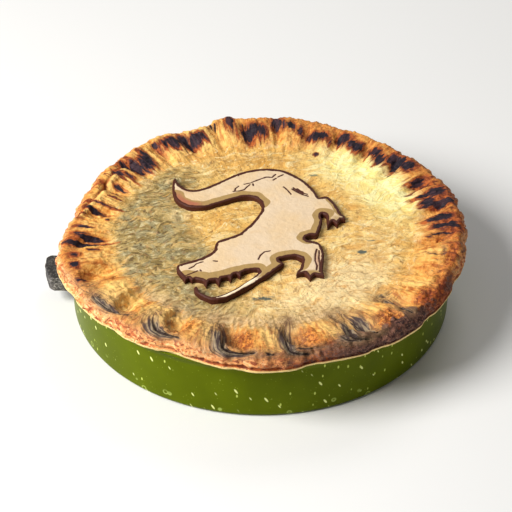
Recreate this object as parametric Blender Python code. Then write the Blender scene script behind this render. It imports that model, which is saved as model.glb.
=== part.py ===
"""Savoury pie baked in its own round enamelled tin, with a crocodile cut from pastry on the lid.

Metres, +Z up. The origin is the centre of the tin's flat base. The stub handle is on the -X side,
and -Y is the side that the pastry crocodile's feet and jaws are turned to.
"""
import math

import bmesh
import bpy

MM = 0.001
GAP = 0.3 * MM

# Tin: an eight inch deep pie tin in thin enamelled steel
TIN_BASE_RADIUS = 102.2 * MM
TIN_TOP_RADIUS = 102.8 * MM
TIN_HEIGHT = 34.7 * MM
TIN_WALL = 1.5 * MM
TIN_CORNER = 2.4 * MM
TIN_BEAD = 1.2 * MM
TIN_STEPS = 96

# Stub handle: a rough cast lug with a skewed end
LUG_HALF_WIDTH = 10.2 * MM
LUG_TOP = 17.4 * MM
LUG_THICKNESS = 8.8 * MM
LUG_REACH_BACK = 117.5 * MM
LUG_REACH_MIDDLE = 117.8 * MM
LUG_REACH_FRONT = 114.8 * MM
LUG_CORNER = 1.6 * MM
LUG_EDGE = 0.8 * MM
LUG_BEND = 2.04 * MM
LUG_ROOT_STEPS = 8

# Crust: a flat lid inside a rim pressed into folds, which hangs over the tin's bead
LID_HEIGHT = 41.0 * MM
LID_RADIUS = 79.0 * MM
LID_SHARES = (0.5, 0.9)
CREST_RADIUS = 103.0 * MM
CREST_HEIGHT = 45.8 * MM
CRUST_SHIFT = 1.4 * MM

# Slow waves of the crest's height: how many round the pie, phase and height in mm
CREST_WAVES = ((3, 1.0, 0.45), (7, 2.1, 0.35))

# Lip: its outermost ring, how far the others are drawn in from it, and their heights
LIP_RADIUS = 109.2 * MM
LIP_HEIGHT = 39.8 * MM
LIP_BOTTOM = 34.9 * MM
LIP_OUT_AT_RIDGE = 0.7 * MM
LIP_IN_AT_PRESS = 0.5 * MM
SHOULDER_IN = 2.0 * MM
SHOULDER_SHARE = 0.62
WAIST_IN = 1.3 * MM
WAIST_DROP = 2.2 * MM
FOOT_IN = 0.5 * MM
FOOT_RISE = 1.6 * MM

# Folds: how many, where they start, and how they spread, skew and lean
FOLDS = 24
FOLD_FRONT = math.radians(-90)
FIRST_FOLD = math.radians(2)
FOLD_SPREAD = 0.3
FOLD_SKEW = 0.95
FOLD_LEAN = math.radians(3)
STEPS_PER_FOLD = 8

# A thumb press, in shares of the rim's width and height: its dip, and the wall outside it
PRESS_DIP = 0.42
PRESS_WALL = 0.82
PRESS_WALL_START = 0.68
PRESS_WALL_SPAN = 0.36
PRESS_DEPTH_BACK = 0.6

# Rings of points across the rim, as shares of its width
RIM_SHARES = (0.0, 0.22, 0.45, 0.7, 0.92, 1.06)

# Where the crust's edge swells or draws in: direction, half width in degrees and change in mm
LIP_WAVES = (
    (206, 7, 1.6),
    (193, 9, 4.0),
    (164, 23, -5.2),
    (137, 6, -1.2),
    (113, 6, -4.2),
    (102, 5, 2.2),
    (80, 8, 2.6),
    (44, 6, -1.4),
    (20, 12, 1.0),
    (288, 8, -2.2),
    (267, 9, 0.9),
    (247, 11, -3.2),
    (215, 9, 0.8),
    (336, 14, -1.3),
)

# Crocodile: a flat cut-out a little thicker than the lid's pastry, in mm from the tin's centre
CROC_TOP = 44.2 * MM
CROC_CURVE_STEPS = 3
TAIL_TO_BACK = (
    (-47.6, 48.1), (-44.8, 40.5), (-39.2, 35.4), (-31.9, 36.9), (-23.3, 43.0), (-13.3, 50.8),
    (-2.7, 55.4), (8.0, 55.8), (16.6, 51.8), (24.6, 43.5), (29.5, 34.9), (32.0, 27.9),
)
HIND_THIGH = ((33.2, 28.8), (35.5, 29.2), (37.5, 28.2), (41.2, 20.9), (43.8, 12.9))
HIND_CLAWS = (
    (45.5, 10.6), (45.8, 7.6), (43.2, 7.6), (41.2, 3.0), (38.8, 6.0), (35.7, 1.0), (35.2, 11.6),
)
BELLY = ((33.5, 12.8), (32.5, 11.0), (33.2, 7.0), (32.7, 3.0), (30.4, -6.3))
BELLY_NOTCH = ((29.2, -6.8), (26.6, -6.8), (24.2, -7.8), (23.6, -9.3), (24.6, -10.8), (26.6, -11.5))
FRONT_LEG = ((29.9, -12.6), (32.0, -15.6), (33.2, -23.6), (32.2, -36.9))
FRONT_CLAWS = ((32.9, -42.2), (27.9, -40.9), (25.4, -44.5), (22.6, -39.5), (18.1, -41.2), (18.7, -38.2))
ARMPIT = (
    (20.3, -35.5), (21.6, -28.2), (20.6, -26.6), (17.9, -25.2), (11.0, -26.8), (9.6, -28.2),
    (12.3, -31.4),
)
THROAT = ((11.0, -33.2), (2.3, -43.2), (-6.3, -51.1), (-17.3, -60.4))
CHIN = ((-21.9, -62.1), (-26.6, -61.4), (-33.2, -56.1), (-34.5, -52.1), (-32.9, -50.8))
LOWER_GUM = ((-31.2, -55.8), (-24.6, -59.5), (-15.9, -55.1), (-6.6, -46.2), (-1.5, -39.5), (-1.7, -36.9))
UPPER_TEETH = (
    (-4.7, -36.9), (-8.0, -37.9), (-10.0, -39.5), (-10.6, -42.8), (-12.6, -40.2), (-14.3, -41.2),
    (-15.6, -45.5), (-16.9, -42.8), (-20.3, -43.8), (-21.5, -48.8), (-23.3, -45.5), (-26.6, -46.2),
    (-28.1, -50.5), (-29.9, -46.2), (-33.9, -44.8), (-35.7, -45.8), (-37.2, -43.8), (-39.3, -46.5),
    (-40.5, -43.2),
)
SNOUT = ((-43.8, -37.5), (-44.0, -34.9), (-42.5, -32.2), (-31.9, -26.9), (-25.9, -21.6))
BROW = ((-24.6, -18.9), (-24.2, -15.0), (-22.6, -11.6), (-16.6, -8.3), (-11.3, -5.0))
NECK_TO_TAIL = (
    (-5.2, 4.0), (-0.2, 14.9), (0.2, 22.6), (-3.3, 27.8), (-10.0, 28.4), (-21.9, 22.8),
    (-31.2, 18.6), (-39.9, 19.6), (-45.8, 24.9), (-48.6, 33.5), (-48.9, 43.5),
)
CURVED, STRAIGHT = "curved", "straight"
CROC_OUTLINE = (
    (CURVED, TAIL_TO_BACK), (CURVED, HIND_THIGH), (STRAIGHT, HIND_CLAWS), (CURVED, BELLY),
    (STRAIGHT, BELLY_NOTCH), (CURVED, FRONT_LEG), (STRAIGHT, FRONT_CLAWS), (CURVED, ARMPIT),
    (CURVED, THROAT), (CURVED, CHIN), (CURVED, LOWER_GUM), (STRAIGHT, UPPER_TEETH),
    (CURVED, SNOUT), (CURVED, BROW), (CURVED, NECK_TO_TAIL),
)


def clear_scene():
    for item in list(bpy.data.objects):
        bpy.data.objects.remove(item, do_unlink=True)


def material(name, colour, roughness, metallic=0.0):
    made = bpy.data.materials.new(name)
    made.use_nodes = True
    shader = made.node_tree.nodes["Principled BSDF"]
    shader.inputs["Base Color"].default_value = (*colour, 1.0)
    shader.inputs["Roughness"].default_value = roughness
    shader.inputs["Metallic"].default_value = metallic
    made.diffuse_color = (*colour, 1.0)
    return made


def add_object(name, bm, surface, sharp_degrees):
    bmesh.ops.recalc_face_normals(bm, faces=bm.faces)
    mesh = bpy.data.meshes.new(name)
    bm.to_mesh(mesh)
    bm.free()
    mesh.materials.append(surface)
    mesh.shade_smooth()
    mesh.set_sharp_from_angle(angle=math.radians(sharp_degrees))
    made = bpy.data.objects.new(name, mesh)
    bpy.context.collection.objects.link(made)
    return made


def arc(centre_r, centre_z, radius, start_degrees, end_degrees, steps):
    """Points of a round corner in a turned profile."""
    points = []
    for step in range(steps + 1):
        turn = math.radians(start_degrees + (end_degrees - start_degrees) * step / steps)
        points.append((centre_r + radius * math.cos(turn), centre_z + radius * math.sin(turn)))
    return points


def cavity_profile(clearance):
    """The tin's inside from its floor's centre up to the bead, drawn in by a clearance."""
    corner = TIN_CORNER - TIN_WALL
    base = TIN_BASE_RADIUS - TIN_WALL
    top = TIN_TOP_RADIUS - TIN_WALL
    profile = [(0.0, TIN_WALL + clearance)]
    profile += arc(base - corner, TIN_WALL + corner, corner - clearance, -90, 0, 3)
    profile.append((top - clearance, TIN_HEIGHT - TIN_BEAD))
    return profile


def tin_profile():
    outside = [(0.0, 0.0)]
    outside += arc(TIN_BASE_RADIUS - TIN_CORNER, TIN_CORNER, TIN_CORNER, -90, 0, 4)
    bead_centre = TIN_HEIGHT - TIN_BEAD
    outside.append((TIN_TOP_RADIUS, bead_centre - TIN_BEAD))
    outside += arc(TIN_TOP_RADIUS, bead_centre, TIN_BEAD, -30, 90, 4)
    inside = cavity_profile(0.0)
    outside.append((inside[-1][0] + TIN_BEAD / 2, TIN_HEIGHT))
    return outside + inside[::-1]


def build_tin(surface):
    bm = bmesh.new()
    points = [bm.verts.new((radius, 0.0, height)) for radius, height in tin_profile()]
    edges = [bm.edges.new(pair) for pair in zip(points, points[1:])]
    bmesh.ops.spin(bm, geom=points + edges, cent=(0, 0, 0), axis=(0, 0, 1), dvec=(0, 0, 0),
                   angle=math.tau, steps=TIN_STEPS, use_merge=True)
    bmesh.ops.remove_doubles(bm, verts=bm.verts, dist=1e-6)
    return add_object("tin", bm, surface, 40)


def wall_radius(height):
    """Outer radius of the tin's wall at a height."""
    share = (height - TIN_CORNER) / (TIN_HEIGHT - 2 * TIN_BEAD - TIN_CORNER)
    return TIN_BASE_RADIUS + (TIN_TOP_RADIUS - TIN_BASE_RADIUS) * share


def build_lug(surface):
    """The stub handle: its root follows the tin's wall, its far end is skewed."""
    root = wall_radius(LUG_TOP) + GAP
    half_turn = math.asin(LUG_HALF_WIDTH / root)
    outline = []
    for step in range(LUG_ROOT_STEPS + 1):
        turn = math.pi - half_turn + 2 * half_turn * step / LUG_ROOT_STEPS
        outline.append((root * math.cos(turn), root * math.sin(turn)))
    outline += [
        (-LUG_REACH_FRONT + LUG_CORNER, -LUG_HALF_WIDTH),
        (-LUG_REACH_FRONT, -LUG_HALF_WIDTH + LUG_CORNER),
        (-LUG_REACH_MIDDLE, LUG_BEND),
        (-LUG_REACH_BACK, LUG_HALF_WIDTH - LUG_CORNER),
        (-LUG_REACH_BACK + LUG_CORNER, LUG_HALF_WIDTH),
    ]
    bm = bmesh.new()
    face = bm.faces.new([bm.verts.new((x, y, LUG_TOP - LUG_THICKNESS)) for x, y in outline])
    grown = bmesh.ops.extrude_face_region(bm, geom=[face])["geom"]
    raised = [item for item in grown if isinstance(item, bmesh.types.BMVert)]
    bmesh.ops.translate(bm, verts=raised, vec=(0, 0, LUG_THICKNESS))
    flat_rims = [edge for edge in bm.edges if abs(edge.verts[0].co.z - edge.verts[1].co.z) < 1e-6]
    free_rims = [edge for edge in flat_rims
                 if max(vert.co.x for vert in edge.verts) < -root * math.cos(half_turn) - LUG_EDGE]
    bmesh.ops.bevel(bm, geom=free_rims, offset=LUG_EDGE, segments=2, affect="EDGES", profile=0.5)
    return add_object("handle", bm, surface, 35)


def fold_angle(t):
    """Direction of the crust at fold parameter t: the folds are wider towards the front."""
    return FOLD_FRONT + t + FOLD_SPREAD * math.sin(t)


def ridge(t, share):
    """One on the ridge between two thumb presses, zero in a press, at a share of the rim's width.

    Each ridge falls steeply into the press on its right and leans to the right as it goes out.
    """
    turn = FOLDS * (t - FIRST_FOLD - FOLD_LEAN * share ** 2)
    wave = 0.5 + 0.5 * math.cos(turn + FOLD_SKEW * (1 - math.cos(turn)))
    return wave * wave * (3 - 2 * wave)


def edge_swell(angle):
    """How far the crust's edge departs from a circle in a direction."""
    degrees = math.degrees(angle) % 360
    swell = 0.0
    for centre, half_width, change in LIP_WAVES:
        away = (degrees - centre + 180) % 360 - 180
        swell += change * MM * math.exp(-(away / half_width) ** 2)
    return swell


def crest_wander(angle):
    """Slow rise and fall of the rim's height round the pie."""
    return sum(height * MM * math.sin(count * angle + phase) for count, phase, height in CREST_WAVES)


def blend(low, high, share):
    return low + (high - low) * share


def press_profile(share):
    """Height in the middle of a thumb press, as a share of the rim's height over the lid."""
    dip = PRESS_DIP * math.sin(math.pi * min(share, 1.0))
    climb = min(max((share - PRESS_WALL_START) / PRESS_WALL_SPAN, 0.0), 1.0)
    return PRESS_WALL * climb * climb * (3 - 2 * climb) - dip


def rim_height(t, share):
    """Height of the rim's top between the lid (share 0) and its crest (share 1)."""
    crest = CREST_HEIGHT + crest_wander(fold_angle(t))
    ridge_top = math.sin(min(share, 1.0) * math.pi / 2)
    depth = blend(PRESS_DEPTH_BACK, 1.0, 0.5 + 0.5 * math.cos(t))
    press = blend(ridge_top, press_profile(share), depth)
    return blend(LID_HEIGHT, crest, blend(press, ridge_top, ridge(t, share)))


def crust_column(t):
    """Radius and height of the pie's outer skin in one direction, from the lid to the bead."""
    swell = edge_swell(fold_angle(t))
    profile = [(LID_RADIUS * share, LID_HEIGHT) for share in LID_SHARES]
    for share in RIM_SHARES:
        radius = blend(LID_RADIUS, CREST_RADIUS, share) + swell * share
        profile.append((radius, rim_height(t, share)))
    lip = LIP_RADIUS + swell + blend(-LIP_IN_AT_PRESS, LIP_OUT_AT_RIDGE, ridge(t, 1.0))
    profile.append((lip - SHOULDER_IN, blend(LIP_HEIGHT, profile[-1][1], SHOULDER_SHARE)))
    profile.append((lip, LIP_HEIGHT))
    profile.append((lip - WAIST_IN, LIP_HEIGHT - WAIST_DROP))
    profile.append((lip - FOOT_IN, LIP_BOTTOM + FOOT_RISE))
    profile.append((lip - WAIST_IN, LIP_BOTTOM))
    return profile


def pie_rings():
    """Rings of points from the pie's underside, out over the bead and up to the lid."""
    columns = FOLDS * STEPS_PER_FOLD
    inside = cavity_profile(GAP)[1:]
    over_bead = TIN_HEIGHT + GAP
    inside.append((inside[-1][0], over_bead))
    bead_edge = TIN_TOP_RADIUS + TIN_BEAD + GAP
    rings = [[] for _ in range(len(inside) + 1 + len(crust_column(0.0)))]
    for column in range(columns):
        t = math.tau * column / columns
        angle = fold_angle(t)
        lower = inside + [(bead_edge, over_bead)]
        for ring, (radius, height) in zip(rings, lower):
            ring.append((radius * math.cos(angle), radius * math.sin(angle), height))
        upper = crust_column(t)[::-1]
        for ring, (radius, height) in zip(rings[len(lower):], upper):
            ring.append((CRUST_SHIFT + radius * math.cos(angle), radius * math.sin(angle), height))
    return rings


def build_pie(surface):
    """Filling, base and lid as one uncut solid, with the folded rim over the tin's bead."""
    bm = bmesh.new()
    rings = [[bm.verts.new(point) for point in ring] for ring in pie_rings()]
    for lower, upper in zip(rings, rings[1:]):
        for here in range(len(lower)):
            after = (here + 1) % len(lower)
            bm.faces.new((lower[here], lower[after], upper[after], upper[here]))
    for ring, height in ((rings[0], TIN_WALL + GAP), (rings[-1], LID_HEIGHT)):
        middle = bm.verts.new((0.0, 0.0, height))
        for here in range(len(ring)):
            bm.faces.new((ring[here], ring[(here + 1) % len(ring)], middle))
    return add_object("pie", bm, surface, 60)


def curve_through(points, steps):
    """Smooth curve through the points of one stretch of outline."""
    padded = [points[0], *points, points[-1]]
    curve = []
    for a, b, c, d in zip(padded, padded[1:], padded[2:], padded[3:]):
        for step in range(steps):
            u = step / steps
            curve.append(tuple(
                0.5 * (2 * q + (r - p) * u + (2 * p - 5 * q + 4 * r - s) * u ** 2
                       + (3 * q - p - 3 * r + s) * u ** 3)
                for p, q, r, s in zip(a, b, c, d)))
    curve.append(points[-1])
    return curve


def crocodile_outline():
    outline = []
    for kind, points in CROC_OUTLINE:
        outline += curve_through(points, CROC_CURVE_STEPS) if kind == CURVED else points
    return [(x * MM, y * MM) for x, y in outline]


def build_crocodile(surface):
    bm = bmesh.new()
    base = LID_HEIGHT + GAP
    face = bm.faces.new([bm.verts.new((x, y, base)) for x, y in crocodile_outline()])
    grown = bmesh.ops.extrude_face_region(bm, geom=[face])["geom"]
    raised = [item for item in grown if isinstance(item, bmesh.types.BMVert)]
    bmesh.ops.translate(bm, verts=raised, vec=(0, 0, CROC_TOP - base))
    return add_object("crocodile", bm, surface, 35)


def main():
    clear_scene()
    build_tin(material("green enamel", (0.13, 0.17, 0.012), 0.3))
    build_lug(material("dark cast metal", (0.06, 0.055, 0.055), 0.6, 0.4))
    build_pie(material("browned pastry", (0.72, 0.42, 0.17), 0.6))
    build_crocodile(material("pale pastry", (0.84, 0.62, 0.38), 0.55))


main()
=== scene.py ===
"""Looks of the savoury pie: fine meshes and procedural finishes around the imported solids.

Sizes are in millimetres and are turned into metres where a mesh is made. The frame is the part's own:
the origin is the centre of the tin's base, the handle is on the -X side and the camera looks from -Y.
"""
import math

import bpy
import numpy as np
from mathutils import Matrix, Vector


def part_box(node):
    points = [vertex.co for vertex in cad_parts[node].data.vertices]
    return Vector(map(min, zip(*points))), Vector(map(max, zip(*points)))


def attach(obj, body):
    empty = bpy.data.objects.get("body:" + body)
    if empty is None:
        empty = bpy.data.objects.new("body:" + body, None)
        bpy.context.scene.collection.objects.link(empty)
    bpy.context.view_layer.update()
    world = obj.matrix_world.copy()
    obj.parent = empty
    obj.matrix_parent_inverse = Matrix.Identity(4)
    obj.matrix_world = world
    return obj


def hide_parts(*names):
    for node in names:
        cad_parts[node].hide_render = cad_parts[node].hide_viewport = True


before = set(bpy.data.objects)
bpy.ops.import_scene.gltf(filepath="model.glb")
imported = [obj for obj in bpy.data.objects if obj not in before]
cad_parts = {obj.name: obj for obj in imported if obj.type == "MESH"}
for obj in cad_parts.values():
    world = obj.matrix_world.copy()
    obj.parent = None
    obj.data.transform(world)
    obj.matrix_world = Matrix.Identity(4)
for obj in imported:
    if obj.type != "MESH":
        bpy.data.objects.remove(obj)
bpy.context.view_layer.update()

MM = 0.001
GAP = 0.3

# The tin, as in the part's source
TIN_BASE_RADIUS = 102.2
TIN_TOP_RADIUS = 102.8
TIN_HEIGHT = 34.7
TIN_WALL = 1.5
TIN_CORNER = 2.4
TIN_BEAD = 1.2

# Columns round the tin, and the size of the cells that the handle is remeshed with
TIN_STEPS = 288
HANDLE_VOXEL = 0.3

# The crust's form, as in the part's source
LID_HEIGHT = 41.0
LID_RADIUS = 79.0
CREST_RADIUS = 103.0
CREST_HEIGHT = 45.8
LIP_RADIUS = 109.2
LIP_HEIGHT = 39.8
LIP_BOTTOM = 34.9
CRUST_SHIFT = 1.4
FOLDS = 24
FOLD_FRONT = math.radians(-90)
FIRST_FOLD = math.radians(2)
FOLD_SPREAD = 0.3
FOLD_SKEW = 0.95
FOLD_LEAN = math.radians(3)
PRESS_DIP = 0.42
PRESS_WALL = 0.82
PRESS_WALL_START = 0.68
PRESS_WALL_SPAN = 0.36
PRESS_DEPTH_BACK = 0.6
LIP_OUT_AT_RIDGE = 0.7
LIP_IN_AT_PRESS = 0.5
SHOULDER_IN = 2.0
SHOULDER_SHARE = 0.62
WAIST_IN = 1.3
WAIST_DROP = 2.2
FOOT_IN = 0.5
FOOT_RISE = 1.6

# Slow waves of the crest's height: how many round the pie, phase and height in mm
CREST_WAVES = ((3, 1.0, 0.45), (7, 2.1, 0.35))

# Where the crust's edge swells or draws in: direction, half width in degrees and change in mm
LIP_WAVES = (
    (206, 7, 1.6), (193, 9, 4.0), (164, 23, -5.2), (137, 6, -1.2), (113, 6, -4.2), (102, 5, 2.2),
    (80, 8, 2.6), (44, 6, -1.4), (20, 12, 1.0), (288, 8, -2.2), (267, 9, 0.9), (247, 11, -3.2),
    (215, 9, 0.8), (336, 14, -1.3),
)

# The crust's mesh: columns round the pie, rings of each stretch of the lid, and steps down the lip.
# LIP_ROOM is left outside the lip's widest line for its flakes.
COLUMNS = 840
LID_STRETCHES = ((6.0, 18.0, 11, 8), (18.0, 37.0, 17, 4), (37.0, 74.0, 37, 2), (74.0, 79.0, 6, 1))
RIM_RINGS = 42
RIM_END = 1.06
LIP_ROOM = 0.25
LIP_STEPS = 5
UNDERSIDE_STEPS = 3

# Heights and depths of the crust's relief
LUMP_HEIGHT = 0.5
SMALL_LUMP_HEIGHT = 0.24
GRAIN_HEIGHT = 0.34
LID_STREAK_HEIGHT = 0.2
PAD_GRAIN_HEIGHT = 0.8
CREASE_DEPTH = 1.5
COMB_DEPTH = 0.7
CUP_FILL = 2.0
CUP_GRAIN_HEIGHT = 1.2
SEAM_DEPTH = 0.8
SEAM_RIDGE_HEIGHT = 0.5
PLEAT_HEIGHT = 0.9
LIP_LAYER_HEIGHT = 0.3
FLAKE_HEIGHT = 0.42

# The radius at which degrees along the rim are turned into millimetres, and the one for charred marks
RIM_MIDDLE = 95
CHAR_MIDDLE = 97

# The pastry crocodile. Its outline is as in the part's source
CROC_TOP = 44.2
CROC_SUNK = 40.4
CROC_CELL = 0.36
CROC_ROUNDING = 0.8
CROC_CURVE_STEPS = 6
CROC_WALL_SHARES = (0.88, 0.7, 0.5, 0.3, 0.12, 0.0)
CROC_CRACK_WIDTH = 0.62
CROC_CRACK_DEPTH = 0.25
TAIL_TO_BACK = (
    (-47.6, 48.1), (-44.8, 40.5), (-39.2, 35.4), (-31.9, 36.9), (-23.3, 43.0), (-13.3, 50.8),
    (-2.7, 55.4), (8.0, 55.8), (16.6, 51.8), (24.6, 43.5), (29.5, 34.9), (32.0, 27.9),
)
HIND_THIGH = ((33.2, 28.8), (35.5, 29.2), (37.5, 28.2), (41.2, 20.9), (43.8, 12.9))
HIND_CLAWS = (
    (45.5, 10.6), (45.8, 7.6), (43.2, 7.6), (41.2, 3.0), (38.8, 6.0), (35.7, 1.0), (35.2, 11.6),
)
BELLY = ((33.5, 12.8), (32.5, 11.0), (33.2, 7.0), (32.7, 3.0), (30.4, -6.3))
BELLY_NOTCH = ((29.2, -6.8), (26.6, -6.8), (24.2, -7.8), (23.6, -9.3), (24.6, -10.8), (26.6, -11.5))
FRONT_LEG = ((29.9, -12.6), (32.0, -15.6), (33.2, -23.6), (32.2, -36.9))
FRONT_CLAWS = ((32.9, -42.2), (27.9, -40.9), (25.4, -44.5), (22.6, -39.5), (18.1, -41.2), (18.7, -38.2))
ARMPIT = (
    (20.3, -35.5), (21.6, -28.2), (20.6, -26.6), (17.9, -25.2), (11.0, -26.8), (9.6, -28.2),
    (12.3, -31.4),
)
THROAT = ((11.0, -33.2), (2.3, -43.2), (-6.3, -51.1), (-17.3, -60.4))
CHIN = ((-21.9, -62.1), (-26.6, -61.4), (-33.2, -56.1), (-34.5, -52.1), (-32.9, -50.8))
LOWER_GUM = ((-31.2, -55.8), (-24.6, -59.5), (-15.9, -55.1), (-6.6, -46.2), (-1.5, -39.5), (-1.7, -36.9))
UPPER_TEETH = (
    (-4.7, -36.9), (-8.0, -37.9), (-10.0, -39.5), (-10.6, -42.8), (-12.6, -40.2), (-14.3, -41.2),
    (-15.6, -45.5), (-16.9, -42.8), (-20.3, -43.8), (-21.5, -48.8), (-23.3, -45.5), (-26.6, -46.2),
    (-28.1, -50.5), (-29.9, -46.2), (-33.9, -44.8), (-35.7, -45.8), (-37.2, -43.8), (-39.3, -46.5),
    (-40.5, -43.2),
)
SNOUT = ((-43.8, -37.5), (-44.0, -34.9), (-42.5, -32.2), (-31.9, -26.9), (-25.9, -21.6))
BROW = ((-24.6, -18.9), (-24.2, -15.0), (-22.6, -11.6), (-16.6, -8.3), (-11.3, -5.0))
NECK_TO_TAIL = (
    (-5.2, 4.0), (-0.2, 14.9), (0.2, 22.6), (-3.3, 27.8), (-10.0, 28.4), (-21.9, 22.8),
    (-31.2, 18.6), (-39.9, 19.6), (-45.8, 24.9), (-48.6, 33.5), (-48.9, 43.5),
)
CURVED, STRAIGHT = "curved", "straight"
CROC_OUTLINE = (
    (CURVED, TAIL_TO_BACK), (CURVED, HIND_THIGH), (STRAIGHT, HIND_CLAWS), (CURVED, BELLY),
    (STRAIGHT, BELLY_NOTCH), (CURVED, FRONT_LEG), (STRAIGHT, FRONT_CLAWS), (CURVED, ARMPIT),
    (CURVED, THROAT), (CURVED, CHIN), (CURVED, LOWER_GUM), (STRAIGHT, UPPER_TEETH),
    (CURVED, SNOUT), (CURVED, BROW), (CURVED, NECK_TO_TAIL),
)

# Tan bands of painted shade inside the crocodile's border, where its top rounds over: reach in mm and the
# edge that each follows
CROC_SHADE_BANDS = (
    (5.0, NECK_TO_TAIL[2:9] + ((-47.0, 30.0),)),
    (4.6, ((35.2, 12.4),) + BELLY + BELLY_NOTCH[1:5]),
    (2.9, ((38.6, 26.0),) + HIND_THIGH[3:]),
    (5.0, ((20.3, -33.0),) + ARMPIT[1:6] + THROAT[:2] + ((-4.0, -49.0),)),
    (4.6, ((-38, -42.5), (-33.9, -43.5), (-26.6, -44.5), (-20.3, -42.5), (-14.3, -40.2), (-8, -37.4),
           (-1.7, -36.4))),
)

# Painted patches on the crocodile: middle, radii along X and Y, and strength
JAW_SPOTS = ((-18, -57, 16, 5, 1.0), (-6, -48, 8, 6, 1.0))
TAIL_SPOTS = ((-43, 26, 6, 7, 1.0), (-37, 22, 6, 3, 0.9))
CLAW_SPOTS = ((26, -40, 8, 3, 0.9), (41, 8, 5, 4, 0.6))
LEG_SPOTS = ((30, -29, 2.2, 9, 0.55),)

# Lines scored or cracked in the crocodile's skin
CROC_CRACKS = (
    ((-15.0, 33.2), (-12.0, 33.7), (-9.2, 34.7), (-7.3, 37.8), (-5.9, 39.8)),
    ((-14.3, 33.4), (-13.8, 35.9), (-12.2, 38.5)),
    ((-9.0, 40.2), (-5.3, 41.5), (-2.0, 44.0), (0.0, 45.1), (3.3, 47.1), (6.3, 46.8), (8.3, 49.8)),
    ((-4.0, 38.7), (-4.3, 40.7)),
    ((7.0, 44.2), (8.6, 46.0)),
    ((9.6, 47.0), (12.6, 49.5)),
    ((12.6, 37.5), (14.6, 34.5), (16.6, 30.5)),
    ((17.3, 35.7), (19.3, 33.5), (21.2, 31.9), (23.2, 30.2), (26.0, 28.9)),
    ((18.3, 36.1), (19.6, 35.4), (23.2, 33.0)),
    ((21.6, 33.5), (23.2, 30.9)),
    ((18.0, 37.0), (20.6, 33.6), (22.4, 32.4)),
    ((20.2, 36.0), (23.8, 31.6), (25.6, 30.8)),
    ((-1.3, -28.6), (-0.3, -25.2), (2.0, -22.1), (4.8, -21.3)),
    ((-37.2, -36.2), (-35.2, -34.5), (-33.7, -32.2), (-30.2, -30.6)),
    ((-39.1, -42.2), (-35.7, -40.3), (-32.9, -38.3)),
    ((-24.7, -29.6), (-22.9, -30.1)),
    ((-31.6, -37.7), (-31.0, -38.5)),
    ((29.5, -19.6), (28.6, -24.2), (28.4, -29.6), (29.2, -34.2), (28.9, -37.5)),
    ((30.7, -20.9), (30.4, -27.6), (30.9, -34.2), (30.4, -38.9)),
    ((-14.0, 50.0), (-12.4, 48.4)),
    ((-2.4, -46.6), (1.6, -47.6)),
)

# Charred places on the rim: direction, radius, half width and half length in mm, strength
CHAR_MARKS = (
    (100.8, 102, 2.4, 7.5, 0.9), (97.4, 100, 3.0, 2.5, 0.5), (106.5, 101, 3.5, 2.5, 0.45),
    (93.7, 94, 7.2, 7.4, 1.0), (85.6, 101, 4.0, 6.0, 0.8), (80.8, 100, 3.4, 4.5, 0.65),
    (77.2, 97, 1.8, 4.2, 0.9), (70.2, 94.5, 7.0, 4.4, 1.0), (68, 80, 2.2, 1.5, 0.8),
    (61.5, 98, 4.6, 4.6, 1.0), (57, 94.5, 4.4, 4.4, 1.0), (53, 97, 4.0, 2.6, 0.45),
    (49, 95, 4.2, 4.2, 1.0), (45, 92.5, 4.0, 5.0, 0.9), (39, 97.5, 5.0, 5.6, 1.0),
    (35, 99, 3.8, 5.0, 0.85), (36.5, 90, 3.0, 3.0, 0.6), (26.9, 95.5, 2.1, 6.5, 0.95),
    (23.6, 95, 2.0, 7.0, 0.95), (18.4, 98.5, 2.9, 11.0, 1.0), (15, 92.5, 4.0, 4.6, 1.0),
    (13, 101, 2.3, 9.0, 1.0), (4.2, 96, 2.8, 8.0, 1.0), (0, 98.5, 3.0, 9.5, 1.0),
    (357, 96, 2.4, 7.0, 0.5), (350, 99, 1.4, 7.0, 0.3), (345.4, 98.5, 1.3, 8.5, 0.45),
    (338, 99, 1.4, 8.0, 0.35),
    (113.8, 93.5, 5.2, 5.6, 1.0), (118.4, 95.5, 3.4, 6.4, 0.9), (123.4, 97, 5.4, 5.2, 1.0),
    (128.4, 99.5, 1.4, 2.0, 0.8), (120.2, 87, 1.2, 5.0, 0.5),
    (134.6, 93.5, 2.0, 7.5, 0.9), (137.4, 91, 2.8, 7.0, 1.0), (140.6, 93, 2.0, 7.0, 0.85),
    (143.2, 96.5, 2.2, 5.0, 0.9), (147, 88.5, 1.8, 5.0, 0.85), (148.8, 94.5, 1.8, 5.0, 0.85),
    (153.6, 89, 0.9, 5.0, 0.8), (156.2, 88.5, 0.8, 5.0, 0.7), (158.6, 87.5, 0.8, 4.6, 0.7),
    (160.8, 86, 0.7, 3.6, 0.8), (166.4, 89.5, 1.1, 7.0, 0.85), (169.6, 92.5, 1.0, 7.0, 0.8),
    (174.3, 84.8, 0.9, 0.9, 1.6), (180, 96.5, 0.9, 5.0, 0.7), (183.6, 98, 1.3, 4.0, 0.8),
    (185, 93, 1.4, 8.0, 0.85), (187.2, 99, 1.5, 13.0, 1.0), (192.1, 92.3, 1.0, 3.4, 0.8),
    (194.4, 102.5, 1.8, 3.6, 0.85), (199.3, 104.2, 2.3, 2.4, 1.6), (206, 104.5, 1.6, 5.5, 0.7),
)
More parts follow.
